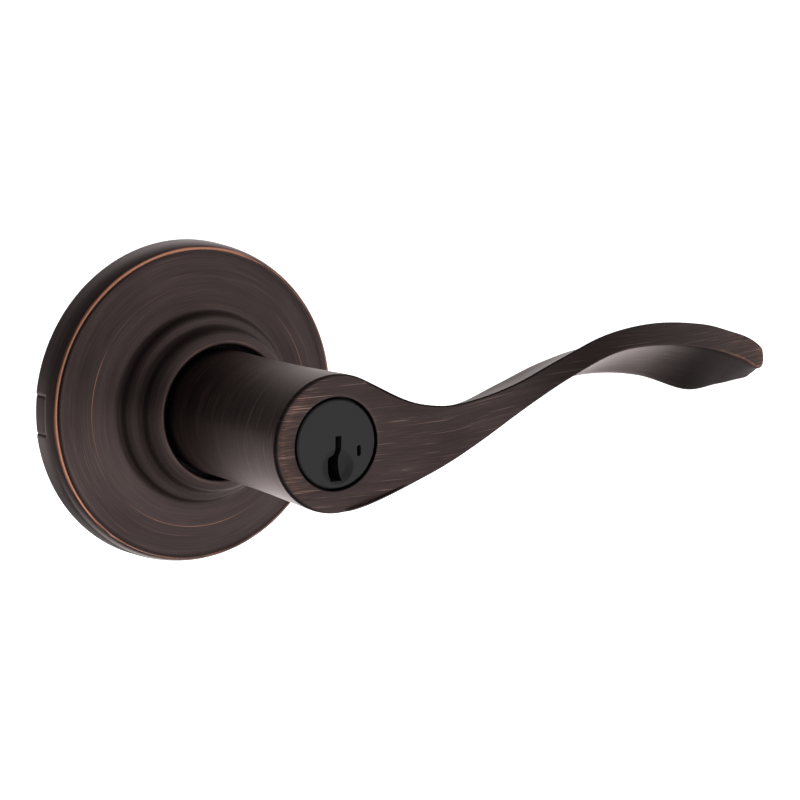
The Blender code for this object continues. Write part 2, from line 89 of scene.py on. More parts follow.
# %% Shader helper
class Value:
    """A node's output that can be used in sums; each operation adds one Math node."""

    def __init__(self, nodes, socket):
        self.nodes = nodes
        self.socket = socket

    def maths(self, operation, *others):
        """A Math node that works on this value and the others."""
        return self.nodes.add("ShaderNodeMath", {"operation": operation},
                              dict(enumerate((self, *others))))

    def __add__(self, other):
        return self.maths("ADD", other)

    def __mul__(self, other):
        return self.maths("MULTIPLY", other)

    def __sub__(self, other):
        return self.maths("SUBTRACT", other)

    def __rsub__(self, other):
        return self.nodes.add("ShaderNodeMath", {"operation": "SUBTRACT"}, {0: other, 1: self})

    def __truediv__(self, other):
        return self.maths("DIVIDE", other)

    __radd__ = __add__
    __rmul__ = __mul__

    def absolute(self):
        """The value without its sign."""
        return self.maths("ABSOLUTE")

    def step(self, low, high):
        """0 below low, 1 above high and a smooth rise between."""
        return self.nodes.add("ShaderNodeMapRange", {"interpolation_type": "SMOOTHSTEP"},
                              {"Value": self, "From Min": low, "From Max": high})


class Nodes:
    """A node tree whose nodes are added one at a time."""

    def __init__(self, tree):
        self.tree = tree

    def put(self, socket, value):
        """Links a value into a socket, or writes a constant there."""
        if isinstance(value, Value):
            self.tree.links.new(value.socket, socket)
        else:
            socket.default_value = value

    def add(self, kind, settings=None, inputs=None, output=0):
        """Adds a node, sets its options and inputs and gives one of its outputs."""
        node = self.tree.nodes.new(kind)
        for name, value in (settings or {}).items():
            setattr(node, name, value)
        for name, value in (inputs or {}).items():
            self.put(node.inputs[name], value)
        return Value(self, node.outputs[output])

    def along(self, vector, way):
        """The share of a vector that points along a unit way."""
        return self.add("ShaderNodeVectorMath", {"operation": "DOT_PRODUCT"}, {0: vector, 1: way}, output=1)

    def attribute(self, name, output="Vector"):
        """What the mesh stores under a name, blended between its points."""
        return self.add("ShaderNodeAttribute", {"attribute_name": name}, output=output)

    def place(self):
        """The position in the piece's own space, in metres."""
        return self.add("ShaderNodeTexCoord", output="Object")

    def stretch(self, vector, scale):
        """Each part of a vector times the same part of the scale."""
        return self.add("ShaderNodeVectorMath", {"operation": "MULTIPLY"}, {0: vector, 1: scale})

    def noise(self, vector, scale=1.0, detail=2.0, roughness=0.5):
        """Smooth random values about 0.5; more detail adds finer layers, each weaker by the roughness."""
        return self.add("ShaderNodeTexNoise", {}, {"Vector": vector, "Scale": scale, "Detail": detail,
                                                   "Roughness": roughness})

    def mix(self, share, first, second):
        """The first colour times one minus the share, plus the second colour times the share."""
        node = self.tree.nodes.new("ShaderNodeMix")
        node.data_type = "RGBA"
        for index, value in ((0, share), (6, first), (7, second)):
            self.put(node.inputs[index], value)
        return Value(self, node.outputs[2])


print("a node tree can:", [name for name in vars(Nodes) if not name.startswith("_")])


# %% Finish helper
class Finish(Nodes):
    """A material with its Principled shader ready to be fed."""

    def __init__(self, name, **constants):
        self.material = bpy.data.materials.new(name)
        self.material.use_nodes = True
        super().__init__(self.material.node_tree)
        self.shader = self.tree.nodes["Principled BSDF"]
        for socket, value in constants.items():
            self.shader.inputs[socket.replace("_", " ")].default_value = value

    def feed(self, socket, value):
        """Sends a value into one of the shader's inputs."""
        self.put(self.shader.inputs[socket], value)

    def bump(self, height, strength, distance):
        """Leans the surface by the slope of a height, where 1 is the distance in metres."""
        self.feed("Normal", self.add("ShaderNodeBump", {}, {"Height": height, "Strength": strength,
                                                            "Distance": distance}))


print("a finish can also:", [name for name in vars(Finish) if not name.startswith("_")])

# %% [markdown]
# ## Floor and room
# Metal shows what stands round it, so the floor and the room are painted with soft light: one bright part
# beyond the lever set, one in front, and darker parts between them. One wide lamp is added from below. The
# floor is far under the set, and the part of it behind the set comes out plain white.

# %% Floor
FLOOR_DROP = 0.34
AWAY = (0.508, 0.861, 0.0)
pale = Finish("pale_floor", Roughness=0.9, Specular_IOR_Level=0.0, Emission_Strength=1.0)
place = pale.place()
reach = pale.add("ShaderNodeVectorMath", {"operation": "LENGTH"}, {0: place}, output=1)
beyond = (pale.along(place, AWAY) / reach).step(0.15, 0.95) * reach.step(0.22, 0.5)
near = 1 - reach.step(1.2, 2.4)
before = (pale.along(place, (0.35, -0.94, 0.0)) / reach).step(0.0, 0.8) * (0.25 + near * 0.65)
grain = pale.noise(place, scale=40.0, detail=2.0)
pale.feed("Base Color", pale.mix(grain, (0.60, 0.60, 0.60, 1.0), (0.64, 0.64, 0.64, 1.0)))
glow = beyond * (1.0 + near * 0.9) + before
pale.feed("Emission Color", pale.mix(glow / 2, (0.16, 0.16, 0.16, 1.0), (2.0, 2.0, 2.0, 1.0)))
floor_mesh = bpy.data.meshes.new("floor")
floor_mesh.from_pydata([(-30, -30, -FLOOR_DROP), (30, -30, -FLOOR_DROP), (30, 30, -FLOOR_DROP),
                        (-30, 30, -FLOOR_DROP)], [], [(0, 1, 2, 3)])
floor_mesh.materials.append(pale.material)
floor = bpy.data.objects.new("floor", floor_mesh)
bpy.context.scene.collection.objects.link(floor)
print("floor lies", FLOOR_DROP, "m under the spindle")


# %% Light
def soft_panel(name, at, aim, size, power):
    """A square area light at a point, facing another point."""
    data = bpy.data.lights.new(name, "AREA")
    data.shape = "SQUARE"
    data.size = size
    data.energy = power
    lamp = bpy.data.objects.new(name, data)
    bpy.context.scene.collection.objects.link(lamp)
    lamp.location = at
    lamp.rotation_euler = (Vector(at) - Vector(aim)).to_track_quat("Z", "Y").to_euler()


bpy.context.scene.view_settings.view_transform = "Standard"
world = bpy.data.worlds.new("studio_room")
bpy.context.scene.world = world
world.use_nodes = True
room = Nodes(world.node_tree)
way = room.add("ShaderNodeTexCoord", output="Generated")
behind = room.along(way, (0.50, 0.86, 0.05)).step(0.62, 0.97)
ahead = room.along(way, (0.55, -0.76, 0.35)).step(0.25, 0.9)
room.put(world.node_tree.nodes["Background"].inputs["Color"],
         room.mix(behind * 0.75 + ahead * 0.85, (0.22, 0.22, 0.22, 1.0), (1.3, 1.3, 1.3, 1.0)))
middle = (0.04, -0.03, 0.0)
soft_panel("panel_below", (0.0, -0.5, -0.28), middle, 0.4, 0.5)
print("lamps:", len(bpy.data.lights))

# %% [markdown]
# ## Surfaces from arrays
# Each new piece is a grid of points worked out with numpy. Rows and columns are joined into four-sided
# faces, and points closer than a thousandth of a millimetre are welded. A turned piece is a profile of
# (radius, depth) points carried round the spindle's axis. A smooth profile is a Catmull-Rom curve through
# a few chosen points: each stretch is a cubic that leaves and enters its ends along the line through
# their neighbours.


# %% Curves and grids
def smooth_line(points, between):
    """A curve through the points, with `between` steps a stretch, by the Catmull-Rom cubic."""
    points = np.asarray(points, float)
    padded = np.vstack([2 * points[0] - points[1], points, 2 * points[-1] - points[-2]])
    t = np.arange(between)[None, :, None] / between
    a, b, c, d = (padded[k:k + len(points) - 1, None, :] for k in range(4))
    curve = 0.5 * (2 * b + (c - a) * t + (2 * a - 5 * b + 4 * c - d) * t**2
                   + (3 * b - a - 3 * c + d) * t**3)
    return np.vstack([curve.reshape(-1, points.shape[1]), points[-1:]])


def turned(profile, angles):
    """A profile carried round the Y axis: x = radius cos angle, z = radius sin angle, y = -depth."""
    radius, depth = np.asarray(profile, float).T
    x = np.cos(angles)[:, None] * radius
    z = np.sin(angles)[:, None] * radius
    y = np.broadcast_to(-depth, x.shape)
    return np.stack([x, y, z], axis=-1)


def grid_faces(first, rows, columns, wrap_rows=False, wrap_columns=False):
    """Four-sided faces over a rows x columns grid whose first point has the index `first`."""
    r = np.arange(rows if wrap_rows else rows - 1)[:, None]
    c = np.arange(columns if wrap_columns else columns - 1)[None, :]
    near, far = r * columns, (r + 1) % rows * columns
    this, after = c + 0 * r, (c + 1) % columns + 0 * r
    return first + np.stack([near + this, near + after, far + after, far + this], -1).reshape(-1, 4)


print("points on a line through 3 places:", len(smooth_line([(0, 0), (1, 1), (2, 0)], 6)))


# %% Making a piece
SHARP_EDGE = math.radians(40)
WELD = 1e-6


def make_piece(name, points, faces, attributes, finish):
    """Writes arrays (points in mm) to a named object, welds close points and turns faces outwards."""
    mesh = bpy.data.meshes.new(name)
    mesh.from_pydata((points * MM).tolist(), [], faces.tolist())
    for key, values in attributes.items():
        kind = "FLOAT" if values.ndim == 1 else "FLOAT_VECTOR"
        layer = mesh.attributes.new(key, kind, "POINT")
        layer.data.foreach_set("value" if values.ndim == 1 else "vector", values.ravel().astype(np.float32))
    bm = bmesh.new()
    bm.from_mesh(mesh)
    bmesh.ops.remove_doubles(bm, verts=bm.verts, dist=WELD)
    bmesh.ops.recalc_face_normals(bm, faces=bm.faces)
    open_edges = sum(not edge.is_manifold for edge in bm.edges)
    bm.to_mesh(mesh)
    bm.free()
    mesh.shade_smooth()
    mesh.set_sharp_from_angle(angle=SHARP_EDGE)
    mesh.materials.append(finish.material)
    piece = bpy.data.objects.new(name, mesh)
    bpy.context.scene.collection.objects.link(piece)
    print(name, "faces:", len(mesh.polygons), "open edges:", open_edges)
    return piece


# %% Easing and cutting
def smooth_step(value, low, high):
    """0 below low, 1 above high, and 3 t squared minus 2 t cubed between."""
    share = np.clip((value - low) / (high - low), 0, 1)
    return share * share * (3 - 2 * share)


def cut_away(piece, cutter):
    """Cuts a closed cutter out of a piece, keeps the result in the piece's mesh and removes the cutter."""
    change = piece.modifiers.new("cut", "BOOLEAN")
    change.object = cutter
    bpy.context.view_layer.update()
    result = bpy.data.meshes.new_from_object(piece.evaluated_get(bpy.context.evaluated_depsgraph_get()))
    piece.modifiers.remove(change)
    result.name = piece.name
    piece.data = result
    bpy.data.objects.remove(cutter)
    return piece


print("smooth step at a quarter and a half:", smooth_step(np.array([0.25, 0.5]), 0, 1))

# %% [markdown]
# ## The bronze
# The finish is brass or zinc blackened chemically and then brushed, so copper shows in the brush marks
# and where edges rub. The brush marks are one noise pattern squeezed along the brushing: each point of a
# piece carries a `brush` vector whose third number runs across the marks and changes fast. A `wear`
# number says how much copper an edge shows. A `shade` number paints shade into the colour where the
# lighting should leave a part dark. All three come from the arrays that make the pieces.

# %% Bronze finish
COPPER = (0.42, 0.185, 0.12, 1.0)
PALE_COPPER = (0.30, 0.185, 0.155, 1.0)
DARK_BRONZE = (0.0325, 0.0215, 0.0203, 1.0)
WARM_BRONZE = (0.062, 0.0425, 0.0400, 1.0)
# Near black that stands for painted shade and painted dark reflections.
PAINTED_SHADE = (0.006, 0.005, 0.005, 1.0)


def bronze_finish(name, streaks, scratch, hairlines=()):
    """Dark lacquered bronze: streaks is the depth of the brush marks, scratch the copper in them.

    Each hairline is a thin circle of copper: its radius and width in mm and its strength.
    """
    finish = Finish(name, Metallic=1.0, Coat_Roughness=0.3, Coat_IOR=1.5,
                    Specular_Tint=(1.0, 0.91, 0.905, 1.0))
    brush = finish.attribute("brush")
    wear = finish.attribute("wear", "Fac")
    shade = finish.attribute("shade", "Fac")
    fine = finish.noise(finish.stretch(brush, (0.09, 0.09, 5.2)), detail=4.0, roughness=0.7)
    broad = finish.noise(finish.stretch(brush, (0.04, 0.04, 0.7)), detail=2.0)
    marks = finish.noise(finish.stretch(brush, (0.10, 0.10, 3.6)), detail=2.0, roughness=0.7)
    thin = finish.noise(finish.stretch(brush, (0.06, 0.06, 5.0)), detail=1.0)
    cloud = finish.noise(finish.place(), scale=70.0, detail=2.0)
    scratches = marks.step(0.56, 0.74) * broad.step(0.35, 0.65) + thin.step(0.62, 0.74) * 0.9
    copper = wear * fine.step(0.42, 0.62) + (wear - 1).step(0.0, 1.0)
    if hairlines:
        place = finish.place()
        flat = finish.stretch(place, (1.0, 0.0, 1.0))
        radius = finish.add("ShaderNodeVectorMath", {"operation": "LENGTH"}, {0: flat}, output=1) * (1 / MM)
        for at, width, strength in hairlines:
            line = 1 - (radius - at).absolute().step(0.0, width)
            copper = copper + line * strength * broad.step(0.3, 0.6)
    tone = ((fine - 0.5) * streaks + 0.4 + (cloud - 0.5) * 0.6 + (broad - 0.5) * 0.7).step(0.0, 1.0)
    body = finish.mix(tone, DARK_BRONZE, WARM_BRONZE)
    body = finish.mix((scratches * (scratch + wear * 0.8)).step(0.0, 1.0), body, PALE_COPPER)
    body = finish.mix(copper.step(0.0, 1.0), body, COPPER)
    # The shade number paints shade: it turns the colour towards near black, adds roughness and takes the coat
    # away, so painted dark parts give no bright reflection.
    finish.feed("Base Color", finish.mix(shade, body, PAINTED_SHADE))
    finish.feed("Roughness", 0.30 + fine * 0.16 + broad * 0.06 + shade * 0.3)
    finish.feed("Coat Weight", 0.2 * (1 - shade))
    finish.bump(fine + scratches * 0.4, 0.30, 0.00004)
    return finish


lever_bronze = bronze_finish("lever_bronze", streaks=1.5, scratch=0.50)
rose_bronze = bronze_finish("rose_bronze", streaks=1.6, scratch=0.20,
                            hairlines=((25.3, 0.13, 0.6), (27.4, 0.10, 0.22), (29.6, 0.09, 0.18)))
print("nodes in the bronzes:", len(lever_bronze.tree.nodes), "and", len(rose_bronze.tree.nodes))

# %% [markdown]
# ## The rose
# A rose is pressed from sheet and spun: a rim that stands on the door, a fine raised ring where the cone
# begins, and a stepped collar that shields the neck. Its profile is turned in one go. The pry notch in
# the rim, where a flat blade lifts the rose off, is a shallow dip pushed into the rim's wall.

# %% Rose sizes
ROSE_FRONT = [(33.35, 0.0), (33.35, 1.6), (33.33, 3.2), (33.22, 4.6), (33.02, 5.7), (32.78, 6.5),
              (32.52, 6.93), (32.25, 7.05), (31.95, 6.98), (31.6, 6.86), (31.1, 6.86), (30.4, 7.1),
              (29.0, 7.75), (27.0, 8.68), (25.0, 9.5), (23.0, 10.1), (21.4, 10.45), (20.4, 10.9),
              (19.85, 11.6), (19.55, 12.5), (19.3, 13.3), (18.85, 13.95), (18.2, 14.45), (17.6, 15.0),
              (17.2, 15.8), (17.0, 16.7), (16.86, 17.6), (16.62, 18.4), (16.2, 19.0), (15.6, 19.5),
              (15.0, 19.92), (14.5, 20.15), (14.1, 20.05), (13.98, 19.7)]
ROSE_BACK = [(14.0, 19.2), (15.1, 17.0), (16.5, 14.6), (17.3, 12.0), (21.0, 9.4), (28.0, 7.1),
             (32.1, 5.0), (32.1, 0.0)]
ROSE_COLUMNS = 260
NOTCH_COLUMNS = 120
NOTCH_FROM = math.pi * 0.9
NOTCH_TO = math.pi * 1.1
NOTCH_HALF = 4.2
NOTCH_EDGE = 0.15
NOTCH_DEPTH = 0.14
NICK_DEPTH = 0.16
NOTCH_FRONT = 3.9
NOTCH_Z = -0.4
WALL_R = 33.1
CREST_R = 32.36
LIP_R = 14.7
MOST_RUBBED = math.radians(144)
print("rose:", 2 * ROSE_FRONT[0][0], "mm across,", max(depth for _, depth in ROSE_FRONT), "mm deep")


# %% Rose surface
def rose_angles():
    """Angles round the rose, closer together by the notch at the far side from the lever."""
    coarse = np.linspace(-NOTCH_FROM, NOTCH_FROM, ROSE_COLUMNS)
    fine = np.linspace(NOTCH_FROM, NOTCH_TO, NOTCH_COLUMNS)[1:-1]
    return np.concatenate([coarse, fine])


angles = rose_angles()
front_line = smooth_line(ROSE_FRONT, 6)
rose_line = np.vstack([front_line, ROSE_BACK])
rose_points = turned(rose_line, angles)
x, y, z = np.moveaxis(rose_points, -1, 0)
in_notch = (1 - smooth_step(np.abs(z - NOTCH_Z), NOTCH_HALF - NOTCH_EDGE, NOTCH_HALF)) * (x < 0)
low = (1 - smooth_step(-y, NOTCH_FRONT - NOTCH_EDGE, NOTCH_FRONT)) * (np.hypot(x, z) > WALL_R)
nick = np.exp(-((np.abs(z - NOTCH_Z) - NOTCH_HALF + 0.1) / 0.3) ** 2) * (x < 0)
rose_points[..., 0] += (NOTCH_DEPTH * in_notch + NICK_DEPTH * nick) * low
print("rose grid:", rose_points.shape)

# %% Wear, painted shade and brushing of the rose
# Copper and painted shade are bell curves and smooth steps of the radius, the depth and the angle.
radius = np.hypot(x, z)
# Painted shade: a little inside the pry notch, and much on the lower half of the rim's wall.
rose_shade = 0.25 * in_notch * low + 0.85 * smooth_step(-z, 4, 20) * (radius > 33) * (-y < 5)
run = np.concatenate([[0], np.cumsum(np.linalg.norm(np.diff(rose_line, axis=0), axis=1))])
rose_brush = np.stack([x, z, np.broadcast_to(run, x.shape)], axis=-1)
rubbed = smooth_step(np.cos(angles - MOST_RUBBED)[:, None] + 0 * x, -0.5, 0.75)
crest = np.exp(-((radius - CREST_R) / (0.22 + 0.12 * rubbed)) ** 4) * (-y > 6.0)
lip = 0.25 * np.exp(-((radius - LIP_R) / 0.25) ** 2) * (-y > 19.5)
notch_end = 0.5 * in_notch * np.exp(-((-y - NOTCH_FRONT) / 0.2) ** 2)
rose_wear = (0.75 + 1.1 * rubbed) * crest + lip + notch_end
print("copper on the ring from", round(rose_wear.min(), 2), "to", round(rose_wear.max(), 2))

# %% Rose piece
rose = make_piece("rose_skin", rose_points.reshape(-1, 3),
                  grid_faces(0, len(angles), len(rose_line), wrap_rows=True, wrap_columns=True),
                  {"brush": rose_brush.reshape(-1, 3), "wear": rose_wear.ravel(),
                   "shade": rose_shade.ravel()}, rose_bronze)
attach(rose, "root")
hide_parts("rose")

# %% [markdown]
# ## The lever
# The lever is one casting, and its surface is three grids that meet along their edges. The first goes
# round the spindle's axis: face, cylinder hole, bore and neck. The second is the face's rounded edge. The
# third is the bar: a four-sided section with rounded corners that slides along four long edges. The bar's
# first rows are a fillet: each line starts on the neck or the face, leaves it along its surface and runs
# on along a Hermite cubic, which makes the flat face flow into the bar in front and gives a cast fillet
# behind. The neck ends about 0.007 mm inside the rounded edge, too far to weld and too little to see, so
# open edges are counted there.

# %% Lever sizes
FACE = 65.5
HUB_R = 14.3
HUB_EDGE_R = 0.8
BAR_EDGE_R = 0.4
NECK_LINE = np.array([(17.2, 13.0), (25, 13.02), (35, 13.15), (46, 13.45), (55, 13.85), (62, 14.2),
                      (65.0, 14.3), (66, 14.3)])
FRONT_UPPER = [(4, 65.5, 13.2), (9, 65.5, 11.3), (16, 65.5, 7.7), (26, 64.1, 5.5), (36, 61.0, 5.65),
               (48, 57.2, 7.4), (60, 54.5, 11.1), (72, 53.0, 15.0), (84, 52.3, 16.35), (96, 51.5, 15.1),
               (104, 50.8, 12.7), (109, 50.4, 10.85), (112, 50.2, 9.3)]
FRONT_LOWER = [(4, 65.5, -12.9), (9, 65.5, -12.2), (16, 65.5, -10.4), (26, 65.0, -6.8), (36, 63.4, -2.6),
               (48, 60.9, 2.8), (60, 59.0, 7.9), (72, 58.0, 12.0), (84, 57.2, 12.4), (96, 55.9, 10.2),
               (104, 54.2, 7.4), (109, 52.9, 4.5), (112, 52.0, 2.6)]
BACK_LOWER = [(4, 48.0, -12.2), (9, 49.5, -11.6), (16, 52.0, -9.8), (26, 53.4, -6.4), (36, 52.6, -2.6),
              (48, 50.0, 1.5), (60, 47.5, 4.6), (72, 46.0, 5.5), (84, 45.4, 4.0), (96, 44.6, -0.1),
              (104, 44.1, 0.35), (109, 43.6, 0.6), (112, 43.3, -1.4)]
BACK_UPPER = [(4, 48.0, 12.2), (9, 49.0, 10.6), (16, 51.0, 6.9), (26, 52.4, 3.9), (36, 51.4, 3.1),
              (48, 48.2, 5.95), (60, 45.5, 9.05), (72, 44.0, 10.7), (84, 43.0, 9.0), (96, 42.2, 5.4),
              (104, 42.2, 4.2), (109, 42.4, 4.0), (112, 42.6, 3.8)]
JOIN_UPPER = math.radians(62)
JOIN_LOWER = math.radians(-82)
JOIN_BACK_UPPER = (49.5, 9.5)
JOIN_BACK_LOWER = (49.5, -11.5)
BAR_START = 21.0
TIP_START = 105.0
TIP_LENGTH = 6.4
TIP_MIDDLE = (50.6, 8.0)
TIP_POWER = 0.64
BACK_POWER = 0.50
FRONT_EXTRA = 0.30
BACK_CORNER = 1.0
CATCH_DEPTH = 24.0
CATCH_R = 2.0
DRILL_SIDES = 48
DRILL_HEIGHTS = (-16.0, -11.6, -7.0)
CHAIN = 40
ARC = 6
SIDES = (12, 5, 6, 5, 12)
BAR_ROWS = 125
TIP_ROWS = 29
FILLET_ROWS = 24
HUB_COLUMNS = 170
WALL_ROWS = 60
print("lever reaches", TIP_START + TIP_LENGTH, "mm from the spindle's axis")


def guide(points, x):
    """(depth, z) at each x on the smooth curve through a long edge's points."""
    curve = smooth_line(points, 12)
    return np.stack([np.interp(x, curve[:, 0], curve[:, k]) for k in (1, 2)], -1)


def neck_radius(depth):
    """The neck's radius at each depth, read from the smooth curve through its profile."""
    curve = smooth_line(NECK_LINE, 8)
    return np.interp(depth, curve[:, 0], curve[:, 1])


# %% Section of the bar
def toward(start, end, distance):
    """The point at a distance from start, on the way to end, but not past 0.42 of the way."""
    way = end - start
    length = np.linalg.norm(way, axis=-1, keepdims=True)
    return start + way / length * np.minimum(distance, 0.42 * length)


def straight(start, end, steps, bow=0.0):
    """Points from start to end, pushed sideways by `bow` in the middle; the last one is left out."""
    t = (np.arange(steps) / steps)[None, :, None]
    way = end - start
    side = np.stack([way[:, 1], -way[:, 0]], -1) / np.linalg.norm(way, axis=-1, keepdims=True)
    return start[:, None] + way[:, None] * t + side[:, None] * (4 * bow * t * (1 - t))


def corner_arc(start, corner, end, steps):
    """A quadratic curve that starts and ends on a corner's two sides; its last point is left out."""
    t = (np.arange(steps) / steps)[None, :, None]
    return start[:, None] * (1 - t)**2 + corner[:, None] * (2 * t * (1 - t)) + end[:, None] * t**2


def back_chain(start, lower, upper, end, corner_r, bow):
    """The bar's under, back and upper sides, from the front face's lower edge to its upper one."""
    into_lower, out_lower = toward(lower, start, corner_r), toward(lower, upper, corner_r)
    into_upper, out_upper = toward(upper, lower, corner_r), toward(upper, end, corner_r)
    return np.concatenate([straight(start, into_lower, SIDES[0], bow),
                           corner_arc(into_lower, lower, out_lower, SIDES[1]),
                           straight(out_lower, into_upper, SIDES[2], bow),
                           corner_arc(into_upper, upper, out_upper, SIDES[3]),
                           straight(out_upper, end, SIDES[4], bow), end[:, None]], axis=1)


def bar_sections(x):
    """Closed sections (depth, z) at each x: front side, lower edge, back chain, upper edge."""
    upper, lower = guide(FRONT_UPPER, x), guide(FRONT_LOWER, x)
    back_lower, back_upper = guide(BACK_LOWER, x), guide(BACK_UPPER, x)
    edge = BAR_EDGE_R
    front_start, front_end = toward(upper, lower, edge), toward(lower, upper, edge)
    chain_start, chain_end = toward(lower, back_lower, edge), toward(upper, back_upper, edge)
    front = straight(front_start, front_end, CHAIN, 0.0)
    chain = back_chain(chain_start, back_lower, back_upper, chain_end, BACK_CORNER, 0.35)
    return np.concatenate([front, corner_arc(front_end, lower, chain_start, ARC), chain[:, :-1],
                           corner_arc(chain_end, upper, front_start, ARC)], axis=1)


print("points round the bar:", bar_sections(np.array([60.0])).shape[1])


# %% Where the bar meets the neck
def on_neck(angle, depth, radius=None):
    """The point at an angle round the axis and a depth, at the neck's own radius or a given one."""
    radius = neck_radius(depth) if radius is None else radius
    return np.stack([radius * np.cos(angle), -depth + 0 * angle, radius * np.sin(angle)], -1)


def edge_r(angle):
    """Radius of the face's rounded edge: full on the free side, small where the bar begins."""
    return BAR_EDGE_R + (HUB_EDGE_R - BAR_EDGE_R) * smooth_step(-np.cos(angle), -0.2, 0.5)


def join_line():
    """Angles and depths of the line on the neck where the bar's back chain begins."""
    start = np.array([[FACE - BAR_EDGE_R, HUB_R * math.sin(JOIN_LOWER)]])
    end = np.array([[FACE - BAR_EDGE_R, HUB_R * math.sin(JOIN_UPPER)]])
    chain = back_chain(start, np.array([JOIN_BACK_LOWER]), np.array([JOIN_BACK_UPPER]), end, 3.0, 0.0)[0]
    return np.arcsin(chain[:, 1] / neck_radius(chain[:, 0])), chain[:, 0]


def edge_arc(angle):
    """Points of the face's rounded edge at one angle, from the neck's wall to the face."""
    turn = np.linspace(0, math.pi / 2, ARC + 1)
    radius = HUB_R - edge_r(angle) * (1 - np.cos(turn))
    return on_neck(np.full(ARC + 1, angle), FACE - edge_r(angle) * (1 - np.sin(turn)), radius)


join_angle, join_depth = join_line()
wall_start = on_neck(join_angle, join_depth)
face_ring = on_neck(join_angle, np.full(len(join_angle), FACE), HUB_R - BAR_EDGE_R)
root = np.concatenate([face_ring[::-1][:-1], edge_arc(JOIN_LOWER)[::-1][:-1], wall_start[:-1],
                       edge_arc(JOIN_UPPER)[:-1]])
print("points round the bar's root:", len(root))

# %% Bar
# The tip closes as a rounded box: its length goes with a power of the sine of a quarter turn and each
# section shrinks with a power of the cosine, a larger one in front so that the front's corner is rounder.
turn = np.linspace(0, math.pi / 2, TIP_ROWS + 1)[1:]
bar_x = np.concatenate([np.linspace(BAR_START, TIP_START, BAR_ROWS),
                        TIP_START + TIP_LENGTH * np.sin(turn) ** TIP_POWER])
shrink = np.concatenate([np.ones(BAR_ROWS), np.clip(np.cos(turn), 0, 1)])[:, None]
sections = bar_sections(bar_x)
swell = shrink ** (BACK_POWER + FRONT_EXTRA * smooth_step(sections[..., 0], 47, 51))
sections = TIP_MIDDLE + (sections - TIP_MIDDLE) * swell[..., None]
bar = np.stack([np.broadcast_to(bar_x[:, None], sections.shape[:2]), -sections[..., 0], sections[..., 1]], -1)
print("bar rows:", len(bar_x), "from", BAR_START, "to", round(bar_x[-1], 1), "mm")

# %% Fillet between neck and bar
# Each line leaves the neck or face along the surface and arrives along the bar, on a Hermite cubic.
slope = np.linspace(-math.cos(JOIN_UPPER) / math.sin(JOIN_UPPER),
                    math.cos(JOIN_LOWER) / -math.sin(JOIN_LOWER), CHAIN)
front_leave = np.stack([np.ones(CHAIN), np.zeros(CHAIN), slope], -1)
normal = np.stack([np.cos(join_angle), 0 * join_angle, np.sin(join_angle)], -1)
wall_leave = np.cross(normal, np.gradient(wall_start, axis=0))
leave = np.concatenate([front_leave, np.repeat(wall_leave[:1], ARC, 0), wall_leave[:-1],
                        np.repeat(wall_leave[-1:], ARC, 0)])
leave /= np.linalg.norm(leave, axis=1, keepdims=True)
leave *= 0.80 + 0.20 * root[:, 2:] / HUB_R
reach = np.linalg.norm(bar[0] - root, axis=1, keepdims=True)
arrive = (bar[1] - bar[0]) / (bar_x[1] - bar_x[0])
t = np.linspace(0, 1, FILLET_ROWS + 1)[:-1, None, None]
fillet = ((2 * t**3 - 3 * t**2 + 1) * root + (t**3 - 2 * t**2 + t) * leave * reach
          + (3 * t**2 - 2 * t**3) * bar[0] + (t**3 - t**2) * arrive * reach)
bar_points = np.concatenate([fillet, bar])
print("bar grid:", bar_points.shape)

# %% Neck, face and bore
INSIDE = [(13.5, 65.5), (12.6, 65.5), (11.6, 65.5), (10.6, 65.5), (9.82, 65.5), (9.72, 65.46), (9.67, 65.4),
          (9.65, 65.3), (9.65, 64.0), (9.65, 62.9), (10.3, 62.9), (10.3, 50.0), (10.3, 34.0), (10.3, 26.0),
          (10.3, 22.0), (10.3, 17.5), (10.55, 17.2), (12.6, 17.2), (12.86, 17.28), (12.98, 17.5)]
REAR = 17.8
hub_angles = np.linspace(JOIN_UPPER, JOIN_LOWER + math.tau, HUB_COLUMNS)
columns = np.concatenate([join_angle, hub_angles[1:-1]])
wall_end = np.concatenate([join_depth, FACE - edge_r(hub_angles[1:-1])])
wall_depth = REAR + (wall_end - REAR)[:, None] * np.linspace(0, 1, WALL_ROWS)
wall = on_neck(columns[:, None] + 0 * wall_depth, wall_depth)
inside = turned(INSIDE, columns)
rim_r = HUB_R - np.concatenate([np.full(len(join_angle), BAR_EDGE_R), edge_r(hub_angles[1:-1])])
inside[:, 0] = on_neck(columns, np.full(len(columns), FACE), rim_r)
around = np.concatenate([inside, wall], axis=1)
edge = np.stack([edge_arc(angle) for angle in hub_angles])
print("neck grid:", around.shape)

# %% [markdown]
# ## Brushing, wear and painted shade on the lever
# The flat front is brushed along the lever, the neck round its axis. Copper shows most on the free side
# of the face, along the crease that runs to the tip and at the tip's end. Shade is painted into the colour
# under the tip, along the upper edge, on the face's rounded edge and inside the cylinder's hole.

# %% Brush marks of the lever
middle_x = np.arange(9.0, 112.0, 3.0)
middle_z = (guide(FRONT_UPPER, middle_x)[:, 1] + guide(FRONT_LOWER, middle_x)[:, 1]) / 2
middle_z = np.maximum.accumulate(middle_z) - middle_z[0]


def middle_height(x):
    """Height of the brushing's path: a third of the rise of the bar's middle line, never downhill."""
    return np.interp(x, middle_x, 0.33 * middle_z, left=0.0)


def lengthways(points):
    """Brush marks along the bar: slow in x, fast in the height above the brushing's path."""
    x, z = points[..., 0], points[..., 2]
    return np.stack([x, 0 * x, z - middle_height(x)], -1)


def round_ways(points, across):
    """Brush marks round the axis: slow in x and z, fast in the distance `across` them."""
    return np.stack([points[..., 0], points[..., 2], across], -1)


